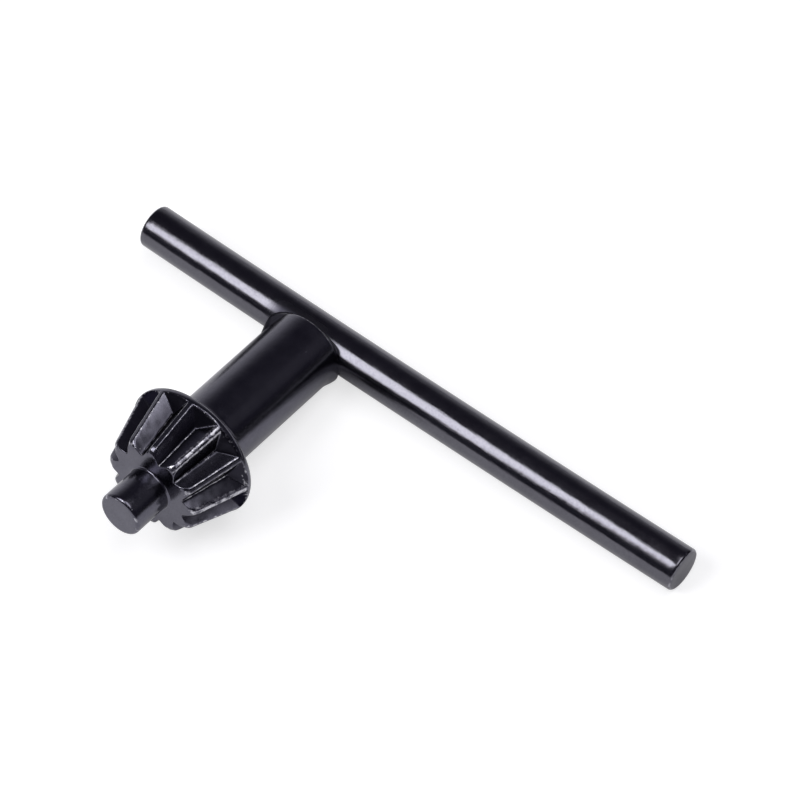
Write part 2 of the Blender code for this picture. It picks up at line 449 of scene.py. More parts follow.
        # The darker film's colour is also painted shade, and the bare steel is also a painted highlight along
        # the roots
        coats = ((lighter, self.thin), (dull_and_shade, self.thick_and_shade), (speckled, self.thick_and_shade), (bare, self.bright))
        for share, coat in coats:
            inputs = {"Factor": share, "A": colour, "B": linear(coat)}
            colour = add_node(tree, "ShaderNodeMix", tinted, inputs).outputs["Result"]
        for share, roughness in ((dull_and_shade, self.dull_roughness), (bare, self.worn_roughness)):
            inputs = {"Factor": share, "A": rough, "B": roughness}
            rough = add_node(tree, "ShaderNodeMix", plain, inputs).outputs["Result"]
        # Painted shade in reflections too: the reflection's tint darkens with the darker film, painted shade
        # included
        inputs = {"Factor": dull_and_shade, "A": linear(WHITE), "B": linear(self.glance)}
        glance = add_node(tree, "ShaderNodeMix", tinted, inputs).outputs["Result"]

        low = {"Height": dents, "Distance": self.dent_depth * MM}
        low = add_node(tree, "ShaderNodeBump", inputs=low).outputs["Normal"]
        high = {"Height": marks, "Distance": self.grain_depth * MM, "Normal": low}
        high = add_node(tree, "ShaderNodeBump", inputs=high).outputs["Normal"]
        tree.links.new(glance, shader.inputs["Specular Tint"])
        tree.links.new(colour, shader.inputs["Base Color"])
        tree.links.new(rough, shader.inputs["Roughness"])
        tree.links.new(high, shader.inputs["Normal"])
        return made


# Forged and hobbed steel, blackened: a faint orange-peel skin, bright lines where the teeth rub, a highlight
# painted along the roots and shade painted into the tooth hollows
FORGED = BlackOxideSteel(
    name="black_oxide_forged_steel",
    film="#5A5963",
    thin="#62616B",
    thick_and_shade="#2C2B33",
    glance="#4A4950",
    bright="#C2C1C8",
    roughness=0.22,
    dull_roughness=0.30,
    worn_roughness=0.34,
    grain=Grain.TURNED,
    grain_pitch=0.35,
    grain_depth=0.005,
    dent_pitch=1.8,
    dent_depth=0.018,
    wear=0.9,
)

# Cold-drawn round bar, blackened: smoother than the forging, with faint lines along its length, and shade
# painted beside the joint
DRAWN = BlackOxideSteel(
    name="black_oxide_drawn_steel",
    film="#5E5D64",
    thin="#65646B",
    thick_and_shade="#33323A",
    glance="#B4B3BA",
    bright="#B4B3BA",
    roughness=0.19,
    dull_roughness=0.36,
    worn_roughness=0.30,
    grain=Grain.DRAWN,
    grain_pitch=0.48,
    grain_depth=0.016,
    dent_pitch=2.5,
    dent_depth=0.03,
    wear=0.6,
)

# Weld metal, blackened with the rest: rippled and duller, because its scale takes a coarser film
WELDED = BlackOxideSteel(
    name="black_oxide_weld_metal",
    film="#403F47",
    thin="#4C4B54",
    thick_and_shade="#2C2B33",
    glance="#4A4950",
    bright="#8F8E95",
    roughness=0.32,
    dull_roughness=0.36,
    worn_roughness=0.38,
    grain=Grain.MELTED,
    grain_pitch=0.5,
    grain_depth=0.02,
    dent_pitch=0.9,
    dent_depth=0.08,
    wear=0.4,
)


@dataclass
class Crossbar:
    """The handle, a length of round bar that has bowed a little with the heat of its weld.

    Attributes:
        diameter: Diameter of the bar.
        long_arm: Length of the arm towards +X.
        short_arm: Length of the arm towards -X.
        end_round: Rounding of the ends.
        bow: How far the middle stands off the line between the ends, towards the pinion.
        trim: How much less than its full radius the bar has, to stay inside the plain bar's facets.
        around: Number of faces round the bar.
        longest: Greatest length of a face.
        round_steps: Number of faces across the rounding of the ends.
        face_rings: Radii of the rings on each end face, as shares of the bar's radius.
        end_wear: How far the edges of the ends are worn.
        end_dull: How dull the cropped end faces are.
        joint_shade: Places along the bar between which shade is painted beside the joint, with a soft start
            and end.
        joint_shade_reach: How far round the bar the painted shade reaches past the side that faces the shank.
        joint_shade_fade: How sharply the painted shade ends round the bar.
    """

    diameter: float = 5.9
    long_arm: float = 56.7
    short_arm: float = 27.65
    end_round: float = 0.4
    bow: float = 0.28
    trim: float = 0.01
    around: int = 144
    longest: float = 0.6
    round_steps: int = 6
    face_rings: tuple[float, ...] = (0.3, 0.6)
    end_wear: float = 0.6
    end_dull: float = 0.3
    joint_shade: tuple[float, float, float, float] = (-7.2, -5.2, 1.3, 2.4)
    joint_shade_reach: float = 0.3
    joint_shade_fade: float = 1.6

    def build(self, axes: KeyAxes) -> bpy.types.Object:
        """Turns the bar about its length and bows it.

        Args:
            axes: The key's axes.

        Returns:
            The crossbar.
        """
        radius = self.diameter / 2 - self.trim
        corners = [
            Corner(0.0, self.long_arm),
            Corner(radius, self.long_arm, self.end_round, self.round_steps),
            Corner(radius, -self.short_arm, self.end_round, self.round_steps),
            Corner(0.0, -self.short_arm),
        ]
        body = filled(profile(corners), self.longest)
        face = [[radius * ring, self.long_arm] for ring in self.face_rings]
        back = [[radius * ring, -self.short_arm] for ring in reversed(self.face_rings)]
        points = np.vstack([face, body, back])
        turn = np.linspace(0, FULL_TURN, self.around, endpoint=False)
        reach = (self.long_arm + self.short_arm) / 2
        share = (points[:, 1] - (self.long_arm - self.short_arm) / 2) / reach
        sag = self.bow * (1 - share**2)
        rows = np.empty((len(points), self.around, 3))
        rows[..., 0] = points[:, 1, None]
        rows[..., 1] = points[:, 0, None] * np.sin(turn)
        rows[..., 2] = points[:, 0, None] * np.cos(turn) - sag[:, None]
        from_end = (1 - np.abs(share)) * reach
        inside = points[:, 0] < radius - self.end_round / 2
        wear_and_highlight = np.where(inside, 0, self.end_wear * np.exp(-((from_end / self.end_round) ** 2)))
        # Painted shade: the film darkens beside the joint, on the side towards the shank and -Y where the
        # bar's highlight runs, so that highlight fades before the shank
        joint_shaded = np.interp(points[:, 1], self.joint_shade, (0, 1, 1, 0))
        below = np.clip(self.joint_shade_reach - self.joint_shade_fade * np.cos(turn), 0, 1)
        towards = below * np.clip(-self.joint_shade_fade * np.sin(turn), 0, 1)
        dull_and_shade = np.where(inside[:, None], self.end_dull, joint_shaded[:, None] * towards)
        marks = {"wear_and_highlight": np.repeat(wear_and_highlight[:, None], self.around, axis=1), "dull_and_shade": dull_and_shade}
        ends = (Vector((self.long_arm, 0.0, 0.0)), Vector((-self.short_arm, 0.0, 0.0)))
        piece = axes.piece("crossbar_drawn", rows, ends, marks)
        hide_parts("crossbar")
        piece.data.materials.append(DRAWN.material())
        return piece


@dataclass(frozen=True)
class Swelling:
    """Metal that the weld's heat and pressure drove out of the shank's side, under one arm of the crossbar.

    Attributes:
        bearing: Angle of its middle about the shank's axis, in degrees.
        spread: Half its width, in degrees.
        proud: How far it stands out of the shank's side.
        length: How far it reaches down the shank.
    """

    bearing: float
    spread: float
    proud: float
    length: float

    def share(self, turn: np.ndarray) -> np.ndarray:
        """The share of the full height at each angle about the shank's axis, from 0 to 1."""
        off = (np.degrees(turn) - self.bearing + 180) % 360 - 180
        return np.cos(np.clip(off / self.spread, -1, 1) * math.pi / 2) ** 2

    def stand(self, turn: np.ndarray, below: float) -> np.ndarray:
        """Finds how far the metal stands out of the shank's side.

        Args:
            turn: Angle about the shank's axis.
            below: Distance below the shank's end face.

        Returns:
            The distance at each angle.
        """
        rise = min(max(1 - below / self.length, 0), 1)
        return self.proud * self.share(turn) * eased(rise)


@dataclass
class PinionShank:
    """Pilot, bevel pinion and shank, one forging with straight teeth cut into its cone.

    Attributes:
        tip: Height of the pilot's end.
        front: Height of the pinion's front face.
        rim: Height of the corner between the cone and the shoulder.
        end: Height of the shank's end face.
        pilot_radius: Radius of the pilot.
        front_radius: Radius of the blank at the front face.
        rim_radius: Radius of the blank at the rim's sharp corner.
        shank_radius: Radius of the shank.
        shoulder_angle: Angle of the shoulder from the axis.
        pilot_edge_round: Rounding of the pilot's end.
        pilot_foot_fillet: Fillet at the pilot's foot.
        rim_round: Rounding of the rim.
        shoulder_fillet: Fillet between the shoulder and the shank.
        end_round: Rounding of the shank's end.
        swelling: The shank's end under the long arm, swollen by the weld.
        trim: How far the pilot's end and the rim stay inside the plain solid.
        teeth: Number of teeth.
        turn: Turn of the first crest about the axis.
        crest: Width of a tooth's crest.
        front_depth: Depth of a tooth space at the front face.
        depth_slope: What the depth gains along each millimetre of the space.
        root_length: Length of a space's root, up to its run-out facet.
        root_round: Rounding of the root.
        run_out: Angle of the run-out facet from the plane of the front face.
        facet_fillet: Rounding between a run-out facet and its space.
        flank_lean: Rough lean of the flanks, in radians, which sets how widely the root is rounded.
        steepest: Greatest angle from a flank's normal, in radians, at which its radius is worked out.
        edge_round: Width of the worn rounding at the crests.
        rub_rounding: How much wider that rounding is on a fully rubbed crest, as a share.
        corner_round: Rounding of the teeth's front corners.
        corner_fade: Depth in a space at which that rounding has mostly gone.
        space_edge_round: Rounding of the front face's edge in the tooth spaces.
        waviness: How far the rubbed edges wander from their true line.
        wander_pitch: Distance over which they wander.
        rubbed: How far each crest is rubbed bright, from the first crest on.
        rub_pitch: Distance over which the rubbing along a crest comes and goes.
        rub_middle: Middle of that rubbing, from 0 to 1.
        rub_width: Depth to which a fully rubbed tooth's flanks are bright beside its crest.
        rub_core: How far past full brightness that band's middle goes, so that its core is even.
        rub_end: How far past the roots' ends the crests are rubbed.
        edge_shine: Wear of the edges of a crest that isn't rubbed.
        crest_shine: Wear of a fully rubbed crest's top. Above one, chips break it up less.
        back_shine: Wear of the edges behind the rubbed part, as a share.
        corner_shine: Wear of the teeth's front corners, for a crest that isn't rubbed and what rubbing adds.
        space_shine: Wear of the front face's edge in the tooth spaces.
        glint_power: How narrow the bright line along these edges is.
        end_shine: Wear of the shank's end.
        pilot_shine: Wear of the pilot's edge.
        pilot_edge: Distance from the pilot's end to which its edge is worn.
        rubbed_shade_loss: How far a fully rubbed tooth's flanks lose the painted shade of the tooth hollows.
        root_glint: Half the width of the highlight painted along each root.
        root_highlight: How bright that painted highlight is.
        hollow_shade_power: How quickly the painted shade darkens the film with depth in a tooth space.
        facet_shade_depth: Depth from which a run-out facet is wholly in painted shade.
        across_space: Places of the columns across half a space, as shares of it.
        across_crest: Places of the columns across a crest, as shares of it.
        pilot_face: Radii of the rings on the pilot's end, as shares of its radius.
        front_face: Places of the rings on the front face, as shares of the way from the foot to the edge.
        end_face: Radii of the rings on the shank's end face, as shares of its radius.
        front_steps: Number of faces across the rounding of the front corners.
        tooth_rows: Number of rows along the teeth, up to the run-out.
        pilot_step: Distance between the rows along the pilot.
        run_out_step: Distance between the rows over the run-out facets and the rim.
        shank_step: Distance between the rows along the shank.
    """

    tip: float = -39.30
    front: float = -33.50
    rim: float = -25.15
    end: float = -2.96
    pilot_radius: float = 3.0
    front_radius: float = 6.75
    rim_radius: float = 9.425
    shank_radius: float = 5.15
    shoulder_angle: float = math.radians(62.0)
    pilot_edge_round: float = 0.45
    pilot_foot_fillet: float = 0.3
    rim_round: float = 1.0
    shoulder_fillet: float = 1.2
    end_round: float = 0.13
    swelling: Swelling = Swelling(25.0, 42.0, 0.42, 2.1)
    trim: float = 0.015
    teeth: int = 12
    turn: float = math.radians(-2.5)
    crest: float = 0.7
    front_depth: float = 1.5
    depth_slope: float = 0.3 / 6.45
    root_length: float = 6.45
    root_round: float = 0.3
    run_out: float = math.radians(60.0)
    facet_fillet: float = 0.12
    flank_lean: float = 0.8
    steepest: float = 1.5
    edge_round: float = 0.14
    rub_rounding: float = 1.8
    corner_round: float = 0.9
    corner_fade: float = 0.45
    space_edge_round: float = 0.12
    waviness: float = 0.05
    wander_pitch: float = 0.9
    rubbed: tuple[float, ...] = (0.85, 0.2, 0.3, 0.7, 0.5, 0.6, 0.45, 0.6, 0.35, 0.3, 0.77, 0.35)
    rub_pitch: float = 1.3
    rub_middle: float = 0.7
    rub_width: float = 0.5
    rub_core: float = 0.3
    rub_end: float = 1.0
    edge_shine: float = 0.5
    crest_shine: float = 1.5
    back_shine: float = 0.55
    corner_shine: tuple[float, float] = (0.55, 0.4)
    space_shine: float = 0.3
    glint_power: float = 3.0
    end_shine: float = 0.62
    pilot_shine: float = 0.35
    pilot_edge: float = 0.3
    rubbed_shade_loss: float = 0.65
    root_glint: float = 0.12
    root_highlight: float = 0.8
    hollow_shade_power: float = 1.2
    facet_shade_depth: float = 0.03
    across_space: tuple[float, ...] = (
        0.03, 0.07, 0.12, 0.18, 0.26, 0.36, 0.48, 0.6,
        0.72, 0.82, 0.89, 0.93, 0.96, 0.98, 1.0,
    )
    across_crest: tuple[float, ...] = (0.05, 0.11, 0.2, 0.33, 0.5, 0.67, 0.8, 0.89, 0.95)
    pilot_face: tuple[float, ...] = (0.3, 0.6, 0.8)
    front_face: tuple[float, ...] = (0.3, 0.6, 0.85)
    end_face: tuple[float, ...] = (0.8, 0.4)
    front_steps: int = 7
    tooth_rows: int = 36
    pilot_step: float = 1.2
    run_out_step: float = 0.07
    shank_step: float = 0.5

    @property
    def cone_slope(self) -> float:
        """What the blank's radius gains for each millimetre of height."""
        return (self.rim_radius - self.front_radius) / (self.rim - self.front)

    @property
    def pitch(self) -> float:
        """Angle from one tooth to the next."""
        return FULL_TURN / self.teeth

    @property
    def foot(self) -> float:
        """Height at which the roots end and the run-out facets start."""
        return self.front + self.root_length

    def cone(self, height: np.ndarray) -> np.ndarray:
        """Radius of the sharp cone at a height."""
        return self.front_radius + self.cone_slope * (height - self.front)

    def root(self, height: np.ndarray) -> np.ndarray:
        """Radius of the bottom of the tooth spaces at a height."""
        return self.cone(height) - self.front_depth - self.depth_slope * (height - self.front)

    def half_space(self, height: np.ndarray) -> np.ndarray:
        """Half the angle of a tooth space at a height, measured on the cone."""
        return self.pitch / 2 - self.crest / 2 / self.cone(height)

    def columns(self) -> tuple[np.ndarray, np.ndarray, np.ndarray, np.ndarray]:
        """Lists the columns of points round the pinion, closer together at roots and crest edges.

        Returns:
            For each column, the middle of its space, its share of the half space, its share of the crest,
            and how far the nearest crest is rubbed.
        """
        half = np.array(self.across_space)
        space = np.concatenate([-half[::-1], [0.0], half])
        crest = np.array(self.across_crest)
        in_space = np.concatenate([space, np.ones(len(crest))])
        in_crest = np.concatenate([np.zeros(len(space)), crest])
        middles = self.turn + (np.arange(self.teeth) + 0.5) * self.pitch
        before = np.array(self.rubbed)[:, None]
        after = np.roll(before, -1)
        rubbed = np.where(np.arange(len(in_space)) < len(half), before, after)
        spaces, crests = np.tile(in_space, self.teeth), np.tile(in_crest, self.teeth)
        return np.repeat(middles, len(in_space)), spaces, crests, rubbed.ravel()

    def place(self, height: np.ndarray) -> tuple[np.ndarray, np.ndarray]:
        """Finds where the columns stand at a height.

        Args:
            height: Height of the point in each column.

        Returns:
            The angle about the axis, and the angle from the middle of the nearest space.
        """
        middles, in_space, in_crest, _ = self.columns()
        half = self.half_space(np.clip(height, self.front, self.rim))
        off = in_space * half + in_crest * (self.pitch - 2 * half)
        return middles + off, np.minimum(np.abs(off), np.abs(self.pitch - off))

    def space_radius(self, off_middle: np.ndarray, height: np.ndarray) -> tuple[np.ndarray, np.ndarray]:
        """Finds the radius of a tooth space's floor: two flanks, a filleted root and the run-out facet.

        Args:
            off_middle: Angle from the middle of the space.
            height: Height of each point.

        Returns:
            The radius at each point, and whether the facet makes it.
        """
        lower = np.clip(height, self.front, self.rim)
        crest = self.cone(lower)
        half = self.half_space(lower)
        middle = self.root(lower) + self.root_round
        edge_x = crest * np.cos(half) - middle
        edge_y = crest * np.sin(half)
        lean = math.pi - np.arctan2(edge_y, edge_x) - np.arccos(self.root_round / np.hypot(edge_x, edge_y))
        closest = np.cos(lean) * middle - self.root_round
        left = closest / np.cos(np.clip(lean + off_middle, 0, self.steepest))
        right = closest / np.cos(np.clip(lean - off_middle, 0, self.steepest))
        floor = smooth_most(left, right, 4 * self.root_round * (1 / math.cos(self.flank_lean) - 1))
        facet = self.root(np.array(self.foot)) + (height - self.foot) * math.tan(self.run_out)
        facet = facet / np.cos(off_middle)
        return smooth_most(floor, facet, self.facet_fillet), facet > floor

    def cut(self, blank: np.ndarray, height: np.ndarray) -> Ring:
        """Cuts the tooth spaces into one row of the blank.

        Args:
            blank: Radius of the uncut blank in each column.
            height: Height of the point in each column.

        Returns:
            The row, with its rubbed edges, the highlight painted along its roots, and the shade painted into
            its hollows.
        """
        turn, off = self.place(height)
        rubbed = self.columns()[3]
        floor, on_facet = self.space_radius(off, height)
        spot = np.stack([blank * np.cos(turn), blank * np.sin(turn), height], axis=-1)
        wander = self.waviness * ripple(spot, self.wander_pitch)
        rounding = self.edge_round * (1 + self.rub_rounding * rubbed)
        radius, near = smooth_least(blank, floor + wander, rounding)
        depth = blank - radius
        behind = height >= self.foot + self.rub_end

        beside = np.abs(floor - blank) / (self.edge_round + self.rub_width * rubbed**3)
        edge = np.maximum(near, np.clip(1 + self.rub_core - beside, 0, 1))
        edge = edge * (self.edge_shine + (1 - self.edge_shine) * rubbed)
        patchy = np.clip(self.rub_middle + ripple(spot, self.rub_pitch), 0, 1)
        top = np.where((floor > blank) & ~behind, self.crest_shine * rubbed**2 * patchy, 0)
        wear_and_highlight = np.maximum(edge, top) * np.where(behind, self.back_shine, 1)
        # Painted highlight: a bright line along the middle of each root, ending before the run-out
        glint = np.exp(-((off * radius / self.root_glint) ** 2)) * (height < self.foot - self.root_round)
        wear_and_highlight = np.maximum(wear_and_highlight, self.root_highlight * glint)

        # Painted shade: the film darkens with depth in each space, and wholly on the run-out facets, less on
        # rubbed teeth
        hollow_shade = np.clip(depth / self.front_depth, 0, 1) ** self.hollow_shade_power
        dull_and_shade = np.where(on_facet & (depth > self.facet_shade_depth), 1, hollow_shade * (1 - self.rubbed_shade_loss * rubbed))
        return Ring(turn, radius, height, wear_and_highlight, dull_and_shade)

    def blank(self) -> np.ndarray:
        """Lists the blank's profile from the end of the roots to the shank's end.

        Returns:
            Rows of radius and height.
        """
        shoulder = self.rim + (self.rim_radius - self.shank_radius) / math.tan(self.shoulder_angle)
        corners = [
            Corner(self.front_radius, self.front),
            Corner(self.rim_radius, self.rim, self.rim_round, steps=18),
            Corner(self.shank_radius, shoulder, self.shoulder_fillet, steps=8),
            Corner(self.shank_radius, self.end, self.end_round, steps=5),
            Corner(0.0, self.end),
        ]
        start = self.foot - self.rim_round / 3
        cone = [[float(self.cone(np.array(start))), start], *profile(corners).tolist()]
        near = np.array([point for point in cone if point[1] < shoulder - self.shoulder_fillet / 2])
        far = np.array(cone[len(near) - 1 :])
        return np.vstack([filled(near, self.run_out_step), filled(far, self.shank_step)[1:]])

    def pilot_rings(self, turn: np.ndarray) -> list[Ring]:
        """Turns the pilot.

        Args:
            turn: Angle of each column.

        Returns:
            Rows from the middle of the pilot's end to its foot.
        """
        corners = [
            Corner(0.0, self.tip + self.trim),
            Corner(self.pilot_radius, self.tip + self.trim, self.pilot_edge_round, steps=8),
            Corner(self.pilot_radius, self.front, self.pilot_foot_fillet, steps=5),
            Corner(self.front_radius, self.front),
        ]
        face = [[self.pilot_radius * share, self.tip + self.trim] for share in self.pilot_face]
        inner = self.pilot_radius - self.pilot_edge_round
        rings = []
        for radius, height in np.vstack([face, filled(profile(corners), self.pilot_step)]):
            rounded = radius > inner and height < self.tip + self.pilot_edge
            rings.append(Ring(turn, radius, height, self.pilot_shine if rounded else 0.0))
        return rings

    def front_rings(self, foot: float) -> list[Ring]:
        """Lays the front face, from the pilot's foot out to the rounded corners of the teeth.

        Args:
            foot: Radius of the fillet round the pilot's foot.

        Returns:
            Rows from the foot to the end of the rounding.
        """
        front = self.front * np.ones(len(self.columns()[0]))
        first = self.cut(self.cone(front), front)
        depth = self.cone(front) - first.radius
        outer = np.exp(-((depth / self.corner_fade) ** 2))
        inset = self.space_edge_round + (self.corner_round - self.space_edge_round) * outer
        plain, added = self.corner_shine
        shine = np.where(depth < self.edge_round, plain + added * self.columns()[3], self.space_shine)
        rings = []
        for share in self.front_face:
            rings.append(Ring(first.turn, foot + (first.radius - inset - foot) * share, self.front))
        for step in range(self.front_steps + 1):
            swing = math.pi / 2 * step / self.front_steps
            height = front + inset * (1 - math.cos(swing))
            ring = self.cut(self.cone(height), height)
            ring.radius = ring.radius - inset * (1 - math.sin(swing))
            glint = math.sin(2 * swing) ** self.glint_power
            ring.wear_and_highlight = np.maximum(ring.wear_and_highlight * math.sin(swing), glint * shine)
            ring.dull_and_shade = ring.dull_and_shade * math.sin(swing)
            rings.append(ring)
        start = self.blank()[0, 1]
        for share in np.linspace(0, 1, self.tooth_rows + 1)[1:-1]:
            height = front + inset + share * (start - front - inset)
            rings.append(self.cut(self.cone(height), height))
        return rings

    def back_rings(self) -> list[Ring]:
        """Lays the run-outs, the rim, the shoulder and the shank.

        Returns:
            Rows from the end of the roots to the shank's end face.
        """
        level = np.ones(len(self.columns()[0]))
        rings = []
        for radius, height in self.blank():
            ring = self.cut((radius - self.trim) * level, height * level)
            ring.radius = ring.radius + self.swelling.stand(ring.turn, self.end - height)
            if height > self.end - self.end_round:
                ring.wear_and_highlight = self.end_shine * level
            rings.append(ring)
        turn = rings[-1].turn
        rings.extend(Ring(turn, self.shank_radius * share, self.end) for share in self.end_face)
        return rings

    def build(self, axes: KeyAxes) -> bpy.types.Object:
        """Lays rows of points over the whole forging, from the pilot's end to the shank's end face.

        Args:
            axes: The key's axes.

        Returns:
            The forging.
        """
        front_turn, _ = self.place(self.front * np.ones(len(self.columns()[0])))
        pilot = self.pilot_rings(front_turn)
        rings = [*pilot, *self.front_rings(float(pilot[-1].radius)), *self.back_rings()]
        rows = np.array([ring.points() for ring in rings])
        wear_and_highlight = np.array([ring.level(ring.wear_and_highlight) for ring in rings])
        dull_and_shade = np.array([ring.level(ring.dull_and_shade) for ring in rings])
        ends = (Vector((0.0, 0.0, self.tip + self.trim)), Vector((0.0, 0.0, self.end)))
        marks = {"wear_and_highlight": wear_and_highlight[:, ::-1], "dull_and_shade": dull_and_shade[:, ::-1]}
        piece = axes.piece("pinion_shank_forged", rows[:, ::-1], ends, marks)
        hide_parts("pinion_shank")
        piece.data.materials.append(FORGED.material())
        return piece


@dataclass
class WeldBead:
    """The weld between the crossbar and the shank's end, with a run of metal under the short arm.

    Attributes:
        end: Height of the shank's end face.
        radius: Radius of the bead's foot on the end face.
        height: Height of the bead beside the crossbar.
        lean: What the height gains towards the short arm.
        crown: Distance from the shank's middle plane at which the bead slopes down.
        fullness: Power that rounds the bead's rim. A higher one makes a steeper rim.
        rim_power: Power by which the rim's own height fades towards the middle.
        innermost: Place of the last row before the middle, as a share of a quarter turn.
        sink: How deep the bead's foot is set into the shank's end.
        run: The run of metal down the shank's side under the short arm.
        run_drop: Distance from the end face down to the run's widest place.
        run_dull: How dull the run is, from 0 to 1.
        swell: How much the height changes along the bead, as a share.
        ripple_pitch: Distance between the bead's ripples.
        around: Number of faces round the bead.
        side_rings: Number of rows up the side of the run.
        top_rings: Number of rows from the rim to the middle.
    """

    end: float = -2.96
    radius: float = 5.02
    height: float = 1.55
    lean: float = 0.25
    crown: float = 2.6
    fullness: float = 5.0
    rim_power: int = 8
    innermost: float = 0.04
    sink: float = 0.3
    run: Swelling = Swelling(-162.0, 34.0, 0.95, 3.9)
    run_drop: float = 0.45
    run_dull: float = 0.5
    swell: float = 0.14
    ripple_pitch: float = 1.1
    around: int = 180
    side_rings: int = 14
    top_rings: int = 22

    def side(self, turn: np.ndarray) -> list[Ring]:
        """Lays the run of metal up the shank's side. Where there is no run, the rows stay inside the shank.

        Args:
            turn: Angle of each column.

        Returns:
            Rows from the run's foot to its widest place.
        """
        share = self.run.share(turn)
        foot = self.end - self.sink - self.run.length * np.sqrt(share)
        top = self.end - self.run_drop * share
        rings = []
        for step in np.linspace(0, 1, self.side_rings):
            spot = Ring(turn, self.radius, foot + (top - foot) * step).points()
            uneven = 1 + self.swell * ripple(spot, self.ripple_pitch)
            rings.append(Ring(turn, self.radius + self.run.proud * share * eased(step) * uneven, spot[:, 2]))
        return rings

    def top(self, rim: Ring) -> list[Ring]:
        """Lays the rounded, rippled mound over the shank's end face.

        Args:
            rim: The widest row of the side.

        Returns:
            Rows from the rim to the middle.
        """
        rings = []
        for share in np.sin(np.linspace(1, self.innermost, self.top_rings) * math.pi / 2):
            radius = rim.radius * share
            aside = np.abs(np.sin(rim.turn)) * radius
            slope = np.clip(1 - (aside - self.crown) / (self.radius - self.crown), 0, 1)
            full = self.height - self.lean * np.cos(rim.turn) * share
            rounded = math.sqrt(1 - share**self.fullness)
            spot = Ring(rim.turn, radius, 0.0).points()
            uneven = 1 + self.swell * ripple(spot, self.ripple_pitch)
            floor = self.end + (rim.height - self.end) * share**self.rim_power
            rings.append(Ring(rim.turn, radius, floor + full * slope * rounded * uneven))
        return rings

    def build(self, axes: KeyAxes) -> bpy.types.Object:
        """Lays rows of points over the bead, from its foot inside the shank to its top inside the crossbar.

        Args:
            axes: The key's axes.

        Returns:
            The weld bead.
        """
        turn = np.linspace(0, FULL_TURN, self.around, endpoint=False)
        side = self.side(turn)
        foot = Ring(turn, self.radius / 2, self.end - self.sink)
        rows = np.array([ring.points() for ring in [foot, *side, *self.top(side[-1])[1:]]])
        top = Vector((0.0, 0.0, float(rows[-1, :, 2].mean())))
        ends = (Vector((0.0, 0.0, self.end - self.sink)), top)
        dull_and_shade = np.zeros(rows.shape[:2])
        dull_and_shade[: self.side_rings] = self.run_dull
        piece = axes.piece("weld_bead", rows[:, ::-1], ends, {"wear_and_highlight": 0 * dull_and_shade, "dull_and_shade": dull_and_shade})
        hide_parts("pinion_shank")
        piece.data.materials.append(WELDED.material())
        return piece


@dataclass(frozen=True)
class SoftBox:
    """A soft lamp of the studio.

    Attributes:
        name: Name of the lamp.
        bearing: Direction to the lamp, from +X towards +Y, in degrees.
        rise: Height of the lamp above the floor's plane, in degrees.
        away: Distance of the lamp, in metres.
        level: Its length along the floor's plane, in metres.
        upright: Its other length, in metres.
        glow: Its brightness, where a white floor under full light has one.
    """

    name: str
    bearing: float
    rise: float
    away: float
    level: float
    upright: float
    glow: float

    def hang(self) -> None:
        """Hangs the lamp so that it faces the key."""
        lamp = bpy.data.lights.new(self.name, "AREA")
        lamp.shape = "RECTANGLE"
        lamp.size = self.level
        lamp.size_y = self.upright
        lamp.energy = self.glow * math.pi * self.level * self.upright
        hung = bpy.data.objects.new(self.name, lamp)
        bearing, rise = math.radians(self.bearing), math.radians(self.rise)
        out = Vector((math.cos(bearing) * math.cos(rise), math.sin(bearing) * math.cos(rise), math.sin(rise)))
        across = Vector((0.0, 0.0, 1.0)).cross(out).normalized()
        turn = Matrix((across, out.cross(across), out)).transposed().to_4x4()
        hung.matrix_world = Matrix.Translation(out * self.away) @ turn
        bpy.context.scene.collection.objects.link(hung)


